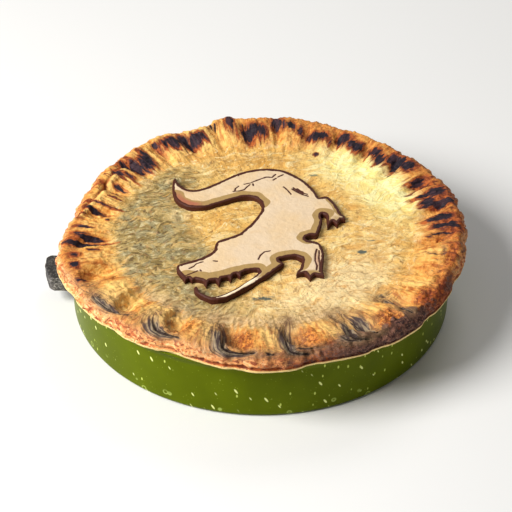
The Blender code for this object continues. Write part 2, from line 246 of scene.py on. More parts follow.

# The dark lines are painted shadow, and the combed strands partly ash and partly painted shade.
# Creases beside the folds: strength, reach in mm to the outer or left side and to the other side, and
# the path of the dark line as directions and radii
CREASES = (
    (0.55, 0.7, 0.7, ((200, 114), (206.1, 111.4), (211, 108.5), (214.1, 105.7), (216.5, 103.1))),
    (0.5, 0.7, 0.7, ((200, 111), (207.3, 109.3), (210, 104.1), (209.1, 98.3))),
    (1.0, 3.0, 4.2, ((212.8, 105.2), (215.4, 106.5), (218.3, 106.9), (221.5, 106.4), (224.6, 104.4),
                     (227.4, 101.6))),
    (1.0, 6.5, 3.0, ((233.4, 92), (236.3, 99), (238.2, 102.6), (240.3, 103.9), (242.6, 103.7), (245, 103))),
    (1.0, 8.0, 1.6, ((254.6, 82.5), (257, 89.4), (258.1, 98), (258.9, 104.2), (260.8, 106.8), (263.6, 107),
                     (267, 105.4))),
    (1.0, 4.2, 4.2, ((278.4, 77.5), (276.9, 85.3), (276.4, 94), (276.6, 101.3), (277.6, 105.6), (279.8, 108),
                     (282, 109))),
    (1.0, 4.0, 3.4, ((295.6, 81), (297.3, 86.8), (296.2, 94), (295.4, 99.8), (296, 104.4), (299.5, 108.9))),
    (1.0, 2.6, 4.0, ((299.8, 81.5), (301, 90), (301.4, 95.8), (301, 101), (302.8, 106.5))),
    (0.8, 3.0, 2.0, ((291.4, 99), (293.9, 104), (297, 108))),
    (0.7, 1.0, 1.6, ((278, 104.4), (280.6, 103.6), (283.4, 104.2), (286.6, 104.8))),
    (0.9, 1.6, 1.6, ((270.2, 107.4), (271.6, 106.8), (273, 107))),
    (0.9, 2.6, 2.6, ((314.6, 82), (316.8, 86), (316.6, 92), (315, 98), (315.6, 105))),
    (0.55, 0.9, 0.9, ((316.9, 81.4), (319, 83), (321.6, 84.4))),
)

# Browned floors of the presses: direction, radius, half widths across and inwards in mm, strength
PADS = (
    (243.6, 92.5, 6.0, 7.5, 0.85), (262.6, 93, 8.0, 9.5, 1.0), (282.4, 94, 8.0, 9.0, 0.95),
    (289, 103, 4.0, 4.0, 0.6), (308.6, 99.5, 7.0, 7.5, 1.0), (324, 102, 6.5, 5.5, 1.0),
    (333, 103, 5.0, 3.0, 0.5), (345, 102, 8.0, 3.0, 0.7), (354, 94, 4.0, 2.0, 0.6),
)

# Presses on the left that are shallower than the rest, painted paler as painted light on their shaded walls:
# direction and radius
SOFT_CUPS = ((219.8, 94), (238.2, 90))
CUP_HALF_WIDTH = 4.2
CUP_HALF_LENGTH = 8

# Dark purple-brown at the lower right, partly char and partly painted shade on the side turned from the
# light: direction, radius, half sizes as above, strength
CHAR_AND_SHADE_SPOTS = (
    (292.5, 104.5, 5.0, 5.0, 0.8), (298.4, 104, 7.0, 8.0, 1.0), (303, 108, 6.0, 4.0, 1.0),
    (311.5, 107, 8.0, 4.5, 1.0), (315.5, 104.5, 5.0, 4.5, 0.9), (318, 109.5, 6.0, 4.0, 0.9),
    (335, 109.5, 9.0, 4.0, 0.62), (350, 108, 6.0, 2.5, 0.5), (345, 96, 8.0, 1.5, 0.55),
)

# The seam that parts the pleated outer edge from the folds on the left
SEAM = ((145, 96), (151, 95.5), (156, 94.5), (164, 94.5), (170, 98), (175.5, 102.5), (178, 108))

# Patches of the lid: middle, radii along X and Y, and strength
# The first are greyish-tan patches of painted shade, mostly over the lid's left.
GREY_SHADE_SPOTS = (
    (-62, 10, 24, 42, 1.1), (-50, -30, 28, 26, 0.9), (-26, -60, 26, 14, 0.7), (-44, 52, 26, 14, 0.45),
    (-20, 8, 15, 12, -0.4), (-4, 68, 30, 7, 0.3), (14, -70, 30, 7, 0.3),
)
GOLD_SPOTS = (
    (-20, 10, 16, 10, 0.5), (-8, 66, 34, 10, 0.65), (60, -30, 20, 16, 0.2), (-32, -58, 12, 6, 0.4),
    (24, 62, 18, 8, 0.3), (-62, -40, 10, 10, 0.3),
)
PALE_SPOTS = ((42, -42, 34, 26, 0.8), (10, -64, 30, 12, 0.5), (62, -2, 18, 20, 0.3))
FLECKS = (
    (52, -18, 3.0, 2.0, 1.0), (28, 53, 3.5, 1.6, 0.9), (0, -58, 6, 2.2, 0.9), (64, -54, 5, 2.0, 0.8),
    (44, 12, 3, 1.6, 0.6), (58, -8, 4, 1.2, 0.5),
)

# Where the rim's colour changes: direction in degrees, and half width where there are two numbers
RIGHT = (10, 34)
# Direction of the painted light that brightens the lid's edge at the back right
PAINTED_LIGHT_SIDE = 38
TOASTED_TOP = (76, 14)
TOP = (90, 60)
PALE_TOP = (112, 9)
UPPER_LEFT = (130, 32)
PLEATED = (162, 16)
LEFT = (185, 40)
# Painted light: cream in the press on the left at PALE_LEFT
PALE_LEFT = (221, 7)
TAN_SHADE_SIDE = (233, 19)
GREY_SHADE_FRONT = (240, 32)
SCORCHED_FRONT = (262, 30)
FRONT = 270
SCORCHED_RIGHT = (325, 10)

FLOOR_SIZE = 10.0
CAMERA_PLACE = (-2.586, -797.42, 628.08)
CAMERA_TARGET = (-2.586, 0.0, 24.66)
CAMERA_LENS = 129.7

# Lights: name, place and width in mm, power in watts and colour
LIGHTS = (
    ("key", (-960, -390, 900), 800, 27.0, (1.0, 0.985, 0.96)),
    ("back_fill", (350, 900, 1000), 700, 4.0, (1.0, 0.98, 0.95)),
)
LIGHT_TARGET = (0, 0, 20)
ROOM_LIGHT = 0.16


def rgb(red, green, blue):
    """Linear colour from the usual 0 to 255 values."""
    parts = [value / 255 for value in (red, green, blue)]
    return tuple(v / 12.92 if v <= 0.04045 else ((v + 0.055) / 1.055) ** 2.4 for v in parts) + (1.0,)


# Number fields

def rise(low, high, x):
    """Zero below low, one above high, smooth between."""
    share = np.clip((x - low) / (high - low), 0.0, 1.0)
    return share * share * (3 - 2 * share)


def hill(x, centre, half_width):
    return np.exp(-((x - centre) / half_width) ** 2)


def away(angle, centre):
    """Degrees from centre to angle, between -180 and 180."""
    return (angle - centre + 180) % 360 - 180


def blend(low, high, share):
    return low + (high - low) * share


def hashed(i, j, k, seed):
    """A fixed number between -1 and 1 for each whole-number point."""
    mixed = (i * 374761393 + j * 668265263 + k * 1274126177 + seed * 97463) & 0xFFFFFFFF
    mixed = ((mixed ^ (mixed >> 13)) * 1103515245) & 0xFFFFFFFF
    mixed = ((mixed ^ (mixed >> 15)) * 224682251) & 0xFFFFFFFF
    return ((mixed ^ (mixed >> 16)) & 0xFFFFFF) / 0x7FFFFF - 1.0


def noise(points, size, seed):
    """Smooth random field between -1 and 1 with features about size across."""
    scaled = points / np.asarray(size, dtype=float)
    cell = np.floor(scaled).astype(np.int64)
    part = scaled - cell
    part = part ** 3 * (part * (part * 6 - 15) + 10)
    total = np.zeros(points.shape[:-1])
    for corner in range(8):
        steps = (corner & 1, corner >> 1 & 1, corner >> 2 & 1)
        weight = np.ones(points.shape[:-1])
        for axis, step in enumerate(steps):
            weight *= part[..., axis] if step else 1 - part[..., axis]
        total += weight * hashed(*(cell[..., axis] + step for axis, step in enumerate(steps)), seed)
    return total


def rough_noise(points, size, seed, octaves=3):
    """Noise with finer noise added, about between -1 and 1."""
    total = np.zeros(points.shape[:-1])
    height = 1.0
    for octave in range(octaves):
        total += height * noise(points, np.asarray(size, dtype=float) / 2 ** octave, seed + octave)
        height *= 0.55
    return total * 1.1


def near_path(x, y, path):
    """Distance to a chain of points, which side of it, and the share of the way along it."""
    best = np.full(x.shape, 1e9)
    side = np.ones(x.shape)
    along = np.zeros(x.shape)
    stretches = len(path) - 1
    for number, ((ax, ay), (bx, by)) in enumerate(zip(path, path[1:])):
        dx, dy = bx - ax, by - ay
        share = np.clip(((x - ax) * dx + (y - ay) * dy) / (dx * dx + dy * dy), 0.0, 1.0)
        gone_x, gone_y = x - ax - share * dx, y - ay - share * dy
        distance = np.hypot(gone_x, gone_y)
        nearer = distance < best
        best = np.where(nearer, distance, best)
        side = np.where(nearer, np.sign(dx * gone_y - dy * gone_x), side)
        along = np.where(nearer, (number + share) / stretches, along)
    return best, side, along


# Materials

class Finish:
    """A procedural material while it is put together. Lengths in it are in millimetres."""

    def __init__(self, name, roughness, **shader_values):
        self.material = bpy.data.materials.new(name)
        self.material.use_nodes = True
        self.tree = self.material.node_tree
        self.shader = self.tree.nodes["Principled BSDF"]
        self.shader.inputs["Roughness"].default_value = roughness
        for socket, value in shader_values.items():
            self.shader.inputs[socket.replace("_", " ")].default_value = value
        self.place = self.scaled(self.node("TexCoord", {})["Object"], (1000, 1000, 1000))

    def feed(self, socket, value):
        if isinstance(value, bpy.types.NodeSocket):
            self.tree.links.new(value, socket)
        else:
            socket.default_value = value

    def node(self, kind, inputs, **settings):
        """The outputs of a new node, with its settings made and its inputs set or linked."""
        made = self.tree.nodes.new("ShaderNode" + kind)
        for name, value in settings.items():
            setattr(made, name, value)
        for key, value in inputs.items():
            self.feed(made.inputs[key], value)
        return made.outputs

    def scaled(self, vector, factors):
        return self.node("VectorMath", {0: vector, 1: factors}, operation="MULTIPLY")["Vector"]

    def added(self, first, second):
        return self.node("VectorMath", {0: first, 1: second}, operation="ADD")["Vector"]

    def rotated(self, vector, axis, degrees):
        inputs = {"Vector": vector, "Angle": math.radians(degrees)}
        return self.node("VectorRotate", inputs, rotation_type=axis)["Vector"]

    def math(self, operation, first, second=0.0, clamp=False):
        return self.node("Math", {0: first, 1: second}, operation=operation, use_clamp=clamp)["Value"]

    def product(self, first, second):
        return self.math("MULTIPLY", first, second)

    def mask(self, name):
        return self.node("Attribute", {}, attribute_name=name)["Fac"]

    def noise(self, size, detail=3.0, vector=None, roughness=0.55, distortion=0.0):
        """Noise between 0 and 1 with features about size millimetres across."""
        inputs = {
            "Vector": self.place if vector is None else vector, "Scale": 1.0 / size, "Detail": detail,
            "Roughness": roughness, "Distortion": distortion,
        }
        return self.node("TexNoise", inputs)["Fac"]

    def cells(self, size, vector=None):
        """Distance to the nearest of scattered points, in cells of a size in millimetres."""
        inputs = {"Vector": self.place if vector is None else vector, "Scale": 1.0 / size}
        return self.node("TexVoronoi", inputs)["Distance"]

    def step(self, value, low, high, top=1.0):
        """Zero at low, top at high, smooth between."""
        inputs = {"Value": value, "From Min": low, "From Max": high, "To Max": top}
        return self.node("MapRange", inputs, interpolation_type="SMOOTHSTEP")["Result"]

    def mix(self, share, first, second):
        return self.node("Mix", {"Factor": share, 6: first, 7: second}, data_type="RGBA")[2]

    def tinted(self, colour, tints):
        """A colour under others. Each tint has its pattern, where that starts and ends, its strength."""
        for pattern, low, high, top, tint in tints:
            colour = self.mix(self.step(pattern, low, high, top), colour, rgb(*tint))
        return colour

    def broken(self, name, grain, reach=0.5, edge=0.16):
        """A painted mask whose edge is broken up by a noise between 0 and 1."""
        shifted = self.product(self.math("SUBTRACT", grain, 0.5), reach)
        torn = self.step(self.math("ADD", self.mask(name), shifted), 0.5 - edge, 0.5 + edge)
        return self.product(torn, self.step(self.mask(name), 0.0, 0.25))

    def bumps(self, layers):
        """Surface bumps one over another, from patterns and their depths in millimetres."""
        normal = None
        for height, depth in layers:
            inputs = {"Strength": 1.0, "Distance": depth * MM, "Height": height}
            if normal is not None:
                inputs["Normal"] = normal
            normal = self.node("Bump", inputs)["Normal"]
        return normal

    def done(self, colour, bump_layers=()):
        self.feed(self.shader.inputs["Base Color"], colour)
        if bump_layers:
            self.feed(self.shader.inputs["Normal"], self.bumps(bump_layers))
        return self.material


def radial_vector(finish):
    """Coordinates that run round the pie and out from its middle, for streaks along the radius."""
    flat = finish.scaled(finish.place, (1, 1, 0))
    length = finish.node("VectorMath", {0: flat}, operation="LENGTH")["Value"]
    unit = finish.node("VectorMath", {0: flat}, operation="NORMALIZE")["Vector"]
    outwards = finish.node("CombineXYZ", {"Z": finish.product(length, 0.16)})["Vector"]
    return finish.added(finish.scaled(unit, (100, 100, 0)), outwards)


def swept_vector(finish):
    """Coordinates over the lid, drawn out along a slant that wanders a little."""
    wander = finish.node("TexNoise", {"Vector": finish.place, "Scale": 1 / 26})["Color"]
    swept = finish.added(finish.place, finish.scaled(wander, (22, 22, 0)))
    return finish.scaled(finish.rotated(swept, "Z_AXIS", -20), (0.5, 1.0, 1.0))


def lid_colour(finish, small, patch, smear, crinkle, dashes):
    """Flat lid: cream and gold smeared pastry, with greyish-tan patches of painted shade over its left, a
    tan ring of painted shade at the foot of the rim, and dark flecks.
    """
    lid = finish.mix(finish.step(patch, 0.4, 0.62), rgb(230, 182, 98), rgb(242, 202, 122))
    lid = finish.mix(finish.broken("pale", small, 0.8, 0.4), lid, rgb(240, 210, 154))
    lid = finish.mix(finish.broken("gold", small, 0.9, 0.4), lid, rgb(218, 160, 74))
    lid = finish.tinted(lid, (
        (smear, 0.54, 0.66, 0.6, (220, 160, 76)),
        (smear, 0.46, 0.34, 0.6, (248, 220, 162)),
        (crinkle, 0.56, 0.66, 0.6, (250, 226, 164)),
        (crinkle, 0.45, 0.36, 0.5, (196, 140, 70)),
        (dashes, 0.41, 0.34, 0.6, (142, 98, 54)),
        (dashes, 0.6, 0.68, 0.6, (255, 238, 188)),
    ))
    # Painted shade: greyish tan over the lid's left, standing for the shade it lies in.
    grey_shade = finish.mix(finish.step(crinkle, 0.4, 0.6), rgb(138, 116, 66), rgb(192, 164, 104))
    grey_shade = finish.tinted(grey_shade, (
        (patch, 0.48, 0.6, 0.6, (152, 146, 112)),
        (small, 0.57, 0.68, 0.45, (184, 132, 92)),
        (smear, 0.57, 0.68, 0.65, (226, 176, 98)),
        (dashes, 0.45, 0.36, 0.8, (98, 76, 46)),
        (dashes, 0.56, 0.66, 0.7, (216, 200, 152)),
    ))
    lid = finish.mix(finish.broken("grey_shade", smear, 1.4, 0.35), lid, grey_shade)
    # Painted shade: tan where the lid meets the rim in front and round the creases.
    tan = finish.mix(finish.step(dashes, 0.4, 0.6), rgb(164, 132, 90), rgb(214, 180, 134))
    lid = finish.mix(finish.mask("tan"), lid, tan)
    return finish.mix(finish.broken("fleck", dashes, 1.6, 0.2), lid, rgb(96, 100, 88))


def rim_colour(finish, fine, small, streak, layer, flakes):
    """Folded rim: gold with orange-brown mottling and browned presses, and a layered lip."""
    rim = finish.mix(finish.step(streak, 0.38, 0.62), rgb(216, 136, 58), rgb(248, 188, 96))
    rim = finish.tinted(rim, (
        (small, 0.5, 0.66, 0.7, (252, 208, 122)),
        (small, 0.46, 0.34, 0.7, (200, 112, 44)),
    ))
    toast = finish.mix(finish.step(small, 0.42, 0.58), rgb(150, 76, 30), rgb(222, 138, 58))
    toast = finish.tinted(toast, (
        (fine, 0.54, 0.66, 0.6, (246, 188, 100)),
        (fine, 0.46, 0.36, 0.8, (108, 54, 28)),
    ))
    rim = finish.mix(finish.broken("toast", small, 1.2, 0.35), rim, toast)
    # Cream: partly the pastry's own tone, partly painted highlight on the ridges and painted light in the
    # soft cups.
    rim = finish.mix(finish.broken("cream", small, 0.8, 0.35), rim, rgb(254, 206, 120))
    lip = finish.mix(finish.step(layer, 0.36, 0.54), rgb(190, 100, 52), rgb(240, 164, 98))
    lip = finish.tinted(lip, (
        (layer, 0.56, 0.68, 0.8, (254, 208, 146)),
        (flakes, 0.55, 0.63, 0.8, (255, 214, 152)),
        (flakes, 0.45, 0.37, 0.85, (134, 56, 32)),
    ))
    return finish.mix(finish.mask("lip"), rim, lip)


def crease_colour(finish, colour):
    """Combed strands beside the folds, dark and tan by turns, partly ash and partly painted shade, in tan
    painted shade round each crease, with a near black line of painted shadow in each crease.
    """
    along = finish.product(finish.mask("strand_along"), 0.1)
    place = finish.node("CombineXYZ", {"X": finish.mask("strand_across"), "Y": along})["Vector"]
    strand = finish.noise(1.1, 2.0, vector=place, distortion=0.4)
    # Painted shade round each crease, the combed strands partly ash and partly painted shade, and a near
    # black painted shadow in the crease.
    colour = finish.mix(finish.product(finish.mask("haze"), 0.62), colour, rgb(164, 132, 92))
    hair = finish.product(finish.step(strand, 0.46, 0.58, 0.85), finish.mask("haze"))
    colour = finish.mix(hair, colour, rgb(108, 76, 54))
    comb = finish.mix(finish.step(strand, 0.38, 0.56), rgb(150, 132, 106), rgb(74, 58, 54))
    colour = finish.mix(finish.broken("comb", strand, 1.1, 0.4), colour, comb)
    return finish.mix(finish.broken("crease", strand, 0.8, 0.25), colour, rgb(50, 34, 28))


def scorch_colour(finish, colour, fine, small, streak, flakes):
    """Red-brown scorching over the rim and the lip, and the purple-brown at the lower right, partly char and
    partly painted shade.
    """
    scorched = finish.mix(finish.step(small, 0.4, 0.6), rgb(118, 52, 28), rgb(184, 96, 42))
    torn = finish.mix(finish.mask("lip"), streak, flakes)
    colour = finish.mix(finish.broken("red", torn, 1.7, 0.3), colour, scorched)
    # Partly char and partly painted shade: dark purple-brown on the lower right, which is turned from the
    # light.
    char_and_shade = finish.mix(finish.step(flakes, 0.4, 0.58), rgb(56, 36, 36), rgb(120, 80, 66))
    char_and_shade = finish.mix(finish.step(fine, 0.56, 0.64, 0.6), char_and_shade, rgb(178, 130, 100))
    return finish.mix(finish.broken("char_and_shade", flakes, 1.3, 0.25), colour, char_and_shade)


def char_colour(finish, colour, streak, radial):
    """Near black charred marks that end in strokes."""
    strokes = finish.noise(1.2, 2.0, vector=radial, distortion=0.4)
    charred = finish.mix(finish.step(streak, 0.44, 0.66), rgb(30, 22, 34), rgb(68, 44, 52))
    return finish.mix(finish.broken("char", strokes, 1.8, 0.18), colour, charred)


def crust_finish():
    """Baked shortcrust: the lid and the rim with its creases, scorched and charred marks, with painted shade
    and painted light.
    """
    finish = Finish("baked crust", 0.6, Specular_IOR_Level=0.25)
    radial = radial_vector(finish)
    swept = swept_vector(finish)
    fine = finish.noise(0.9)
    small = finish.noise(2.8, 4.0, distortion=0.5)
    patch = finish.noise(8.0, distortion=0.6)
    streak = finish.noise(1.9, vector=radial, distortion=0.5)
    layer = finish.noise(1.5, vector=finish.scaled(finish.place, (0.24, 0.24, 0.9)), distortion=0.5)
    flakes = finish.noise(1.9, 2.5, vector=finish.scaled(finish.place, (0.7, 0.7, 1)), distortion=0.9)
    dashes = finish.noise(1.7, vector=swept, distortion=0.5)
    crinkle = finish.noise(3.6, 3.5, vector=swept, distortion=0.8)
    smear = finish.noise(6.5, 2.5, vector=swept, distortion=0.7)

    lid = lid_colour(finish, small, patch, smear, crinkle, dashes)
    rim = rim_colour(finish, fine, small, streak, layer, flakes)
    colour = finish.mix(finish.broken("rim", small, 0.8, 0.35), lid, rim)
    # Painted light: pale yellow over the lid's edge at the back right, standing for light falling there.
    painted_light = finish.mix(finish.step(crinkle, 0.38, 0.6), rgb(255, 230, 142), rgb(255, 246, 180))
    colour = finish.mix(finish.mask("painted_light"), colour, painted_light)
    on_top = finish.math("SUBTRACT", finish.mask("rim"), finish.mask("lip"), clamp=True)
    lines = finish.product(finish.step(streak, 0.45, 0.33, 0.55), on_top)
    colour = finish.mix(lines, colour, rgb(150, 78, 36))
    colour = scorch_colour(finish, colour, fine, small, streak, flakes)
    colour = crease_colour(finish, colour)
    colour = char_colour(finish, colour, streak, radial)
    colour = finish.mix(finish.broken("edge", fine, 0.4, 0.3), colour, rgb(250, 216, 142))
    return finish.done(colour, (
        (crinkle, 1.1), (streak, 0.35), (small, 0.6), (layer, 0.3), (dashes, 0.35), (fine, 0.2),
    ))


def pastry_finish():
    """The pale pastry of the crocodile, baked brown along its cut edges and in its cracks, with painted
    shade and painted highlights on its top.
    """
    finish = Finish("pale pastry", 0.6, Specular_IOR_Level=0.3)
    fine = finish.noise(0.7, 4.0)
    small = finish.noise(3.0, distortion=0.5)
    patch = finish.noise(16.0, 2.0)
    colour = finish.mix(finish.step(patch, 0.35, 0.65), rgb(228, 203, 170), rgb(228, 198, 156))
    colour = finish.tinted(colour, (
        (small, 0.56, 0.72, 0.35, (240, 218, 184)),
        (small, 0.44, 0.28, 0.3, (220, 182, 134)),
    ))
    # Painted shade: tan bands inside the border where the top rounds over, and tan on the claws.
    colour = finish.mix(finish.broken("shade_band", fine, 0.3, 0.3), colour, rgb(174, 141, 86))
    colour = finish.mix(finish.broken("pink", small, 0.5, 0.5), colour, rgb(176, 108, 78))
    # Painted highlight: a pale line inside the border on edges turned to the back, and on the lower jaw.
    colour = finish.mix(finish.broken("light", fine, 0.3, 0.4), colour, rgb(255, 238, 206))
    colour = finish.mix(finish.broken("brown", fine, 0.35, 0.2), colour, rgb(74, 32, 18))
    return finish.done(colour, ((small, 0.35), (fine, 0.12)))


def enamel_finish():
    """Mottled green enamel on thin steel, with paler dots and slanted dashes, and rings near the base."""
    finish = Finish("green enamel", 0.34, Specular_IOR_Level=0.045)
    patch = finish.noise(24.0, 2.0)
    fine = finish.noise(0.6, 2.0)
    dots = finish.cells(4.6, finish.scaled(finish.place, (1, 1, 0.5)))
    specks = finish.cells(2.4)
    tilted = finish.rotated(finish.place, "Y_AXIS", 32)
    dashes = finish.cells(4.8, finish.scaled(tilted, (1.1, 1, 0.34)))
    colour = finish.mix(finish.step(patch, 0.3, 0.7), rgb(86, 98, 0), rgb(94, 107, 1))
    colour = finish.tinted(colour, (
        (dots, 0.13, 0.08, 1.0, (196, 208, 96)),
        (specks, 0.12, 0.06, 0.6, (160, 176, 60)),
        (dashes, 0.15, 0.1, 1.0, (232, 238, 150)),
    ))
    rings = finish.cells(9.0)
    ring = finish.product(finish.step(rings, 0.2, 0.16), finish.step(rings, 0.09, 0.13))
    height = finish.node("SeparateXYZ", {"Vector": finish.place})["Z"]
    low_ring = finish.product(ring, finish.step(height, 9.0, 5.0, 0.8))
    colour = finish.mix(low_ring, colour, rgb(170, 186, 90))
    return finish.done(colour, ((patch, 0.15), (fine, 0.02)))


def cast_finish():
    """Rough dark cast metal with coarse grain; its front face is painted paler, with paler grain, as painted
    light.
    """
    finish = Finish("cast metal", 0.6, Metallic=0.2)
    fine = finish.noise(1.2, roughness=0.6, distortion=1.0)
    patch = finish.noise(3.0)
    blotches = finish.step(patch, 0.35, 0.65)
    colour = finish.mix(blotches, rgb(46, 44, 43), rgb(64, 61, 60))
    # Painted light: the faces turned to the front are paler, standing for the light they catch.
    front = finish.mix(blotches, rgb(88, 83, 80), rgb(112, 106, 102))
    colour = finish.mix(finish.broken("front", fine, 0.5, 0.3), colour, front)
    grain = finish.mix(finish.mask("front"), rgb(112, 108, 104), rgb(196, 190, 182))
    colour = finish.mix(finish.step(fine, 0.52, 0.62, 0.8), colour, grain)
    colour = finish.mix(finish.step(fine, 0.48, 0.38, 0.8), colour, rgb(30, 28, 28))
    return finish.done(colour, ((fine, 0.35),))


def floor_finish():
    finish = Finish("pale floor", 0.9, Specular_IOR_Level=0.1)
    return finish.done(finish.mix(finish.noise(400.0, 1.0), rgb(236, 236, 235), rgb(240, 240, 239)))


# Meshes

def add_piece(name, points, faces, finish, masks=None):
    """A smooth mesh from points in millimetres, with masks as attributes on its points."""
    mesh = bpy.data.meshes.new(name)
    mesh.from_pydata((np.asarray(points) * MM).tolist(), [], faces)
    mesh.shade_smooth()
    mesh.materials.append(finish)
    for key, values in (masks or {}).items():
        layer = mesh.attributes.new(key, "FLOAT", "POINT")
        layer.data.foreach_set("value", np.asarray(values, dtype=np.float32).ravel())
    mesh.update()
    piece = bpy.data.objects.new(name, mesh)
    bpy.context.collection.objects.link(piece)
    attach(piece, "root")
    return piece


def clipped(points, node):
    """Points in millimetres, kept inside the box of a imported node."""
    low, high = (np.array(corner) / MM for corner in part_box(node))
    return np.clip(points, low, high)


def arc(centre_r, centre_z, radius, start_degrees, end_degrees, steps):
    turns = np.radians(np.linspace(start_degrees, end_degrees, steps + 1))
    return [(centre_r + radius * math.cos(turn), centre_z + radius * math.sin(turn)) for turn in turns]


def cavity_profile(clearance, steps=3):
    """The tin's inside from its floor's centre up to the bead, drawn in by a clearance."""
    corner = TIN_CORNER - TIN_WALL
    base = TIN_BASE_RADIUS - TIN_WALL
    top = TIN_TOP_RADIUS - TIN_WALL
    profile = [(0.0, TIN_WALL + clearance)]
    profile += arc(base - corner, TIN_WALL + corner, corner - clearance, -90, 0, steps)
    profile.append((top - clearance, TIN_HEIGHT - TIN_BEAD))
    return profile


def turned(profile, steps):
    """Points and faces of a profile turned about the tin's axis. Both its ends are on the axis."""
    inner = profile[1:-1]
    turns = np.arange(steps) * math.tau / steps
    rings = [np.stack([radius * np.cos(turns), radius * np.sin(turns), np.full(steps, height)], axis=1)
             for radius, height in inner]
    points = np.concatenate(rings + [[(0, 0, profile[0][1]), (0, 0, profile[-1][1])]])
    faces = []
    after = [(column + 1) % steps for column in range(steps)]
    for ring in range(len(inner) - 1):
        low, high = ring * steps, (ring + 1) * steps
        faces += [(low + c, low + after[c], high + after[c], high + c) for c in range(steps)]
    last = (len(inner) - 1) * steps
    start, end = len(inner) * steps, len(inner) * steps + 1
    faces += [(start, after[c], c) for c in range(steps)]
    faces += [(end, last + c, last + after[c]) for c in range(steps)]
    return points, faces


def tin_profile():
    """The tin's section: base, corner, straight wall, rolled bead, and back down inside."""
    outside = [(0.0, 0.0), (60.0, 0.0), (90.0, 0.0)]
    outside += arc(TIN_BASE_RADIUS - TIN_CORNER, TIN_CORNER, TIN_CORNER, -90, 0, 8)
    bead_centre = TIN_HEIGHT - TIN_BEAD
    under_bead = bead_centre - TIN_BEAD
    for share in np.linspace(0.1, 1.0, 10):
        height = blend(TIN_CORNER, under_bead, share)
        outside.append((blend(TIN_BASE_RADIUS, TIN_TOP_RADIUS, share), height))
    outside += arc(TIN_TOP_RADIUS, bead_centre, TIN_BEAD, -60, 90, 8)
    inside = cavity_profile(0.0)
    outside.append((inside[-1][0] + TIN_BEAD / 2, TIN_HEIGHT))
    return outside + inside[::-1]


def build_tin():
    points, faces = turned(tin_profile(), TIN_STEPS)
    piece = add_piece("enamel_tin", points, faces, enamel_finish())
    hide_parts("tin")


def build_handle():
    """The cast lug: the solid's own form, remeshed finely and roughened."""
    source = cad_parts["handle"]
    piece = bpy.data.objects.new("cast_handle", source.data.copy())
    bpy.context.collection.objects.link(piece)
    remesh = piece.modifiers.new("remesh", "REMESH")
    remesh.mode = "VOXEL"
    remesh.voxel_size = HANDLE_VOXEL * MM
    made = bpy.data.meshes.new_from_object(piece.evaluated_get(bpy.context.evaluated_depsgraph_get()))
    piece.modifiers.clear()
    piece.data = made
    count = len(made.vertices)
    flat = np.empty(count * 3)
    made.vertices.foreach_get("co", flat)
    points = flat.reshape(count, 3) / MM
    made.vertices.foreach_get("normal", flat)
    normals = flat.reshape(count, 3)
    relief = rough_noise(points, 2.4, 61) * 0.14 + noise(points, 0.9, 67) * 0.1 - 0.04
    # Painted light: marks the faces turned to the front, which the finish paints paler.
    front = made.attributes.new("front", "FLOAT", "POINT")
    front.data.foreach_set("value", rise(0.3, 0.9, -normals[:, 1]).astype(np.float32))
    points = clipped(points + normals * relief[:, None], "handle")
    made.vertices.foreach_set("co", (points * MM).ravel())
    made.materials.clear()
    made.materials.append(cast_finish())
    made.shade_smooth()
    made.update()
    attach(piece, "root")
    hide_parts("handle")


# The crust

def fold_of(angle):
    """The fold parameter in a direction. The folds are spread wider in front than at the back."""
    table = np.linspace(0, math.tau, 4001)
    return np.interp((angle - FOLD_FRONT) % math.tau, table + FOLD_SPREAD * np.sin(table), table)


def ridge(t, share):
    """One on the ridge between two thumb presses, zero in a press, at a share of the rim's width."""
    turn = FOLDS * (t - FIRST_FOLD - FOLD_LEAN * share ** 2)
    wave = 0.5 + 0.5 * np.cos(turn + FOLD_SKEW * (1 - np.cos(turn)))
    return wave * wave * (3 - 2 * wave)


def edge_swell(degrees):
    return sum(change * hill(away(degrees, centre), 0, width) for centre, width, change in LIP_WAVES)


def press_profile(share):
    dip = PRESS_DIP * math.sin(math.pi * min(share, 1.0))
    climb = min(max((share - PRESS_WALL_START) / PRESS_WALL_SPAN, 0.0), 1.0)
    return PRESS_WALL * climb * climb * (3 - 2 * climb) - dip


def rim_height(t, angle, share):
    """Height of the rim at a share of its width: low in the presses, high on the ridges."""
    wander = sum(height * np.sin(count * angle + phase) for count, phase, height in CREST_WAVES)
    ridge_top = math.sin(min(share, 1.0) * math.pi / 2)
    depth = blend(PRESS_DEPTH_BACK, 1.0, 0.5 + 0.5 * np.cos(t))
    climb = blend(blend(ridge_top, press_profile(share), depth), ridge_top, ridge(t, share))
    return blend(LID_HEIGHT, CREST_HEIGHT + wander, climb)


def curve_between(before, start, end, after, share):
    """Point on the smooth curve through four points, at a share of the way from start to end."""
    return 0.5 * (2 * start + (end - before) * share
                  + (2 * before - 5 * start + 4 * end - after) * share ** 2
                  + (3 * start - before - 3 * end + after) * share ** 3)


def all_round(value):
    return np.full(COLUMNS, value)


def lip_marks(t, swell, before, top):
    """Radius and height of the lines that the lip's section runs through, from the crest down and in."""
    lip = LIP_RADIUS + swell + blend(-LIP_IN_AT_PRESS, LIP_OUT_AT_RIDGE, ridge(t, 1.0)) - LIP_ROOM
    return [
        (before[0], before[1]),
        (top[0], top[1]),
        (lip - SHOULDER_IN, blend(LIP_HEIGHT, top[1], SHOULDER_SHARE)),
        (lip, all_round(LIP_HEIGHT)),
        (lip - WAIST_IN, all_round(LIP_HEIGHT - WAIST_DROP)),
        (lip - FOOT_IN, all_round(LIP_BOTTOM + FOOT_RISE)),
        (lip - WAIST_IN, all_round(LIP_BOTTOM)),
        (all_round(TIN_TOP_RADIUS + TIN_BEAD + GAP), all_round(TIN_HEIGHT + GAP)),
    ]


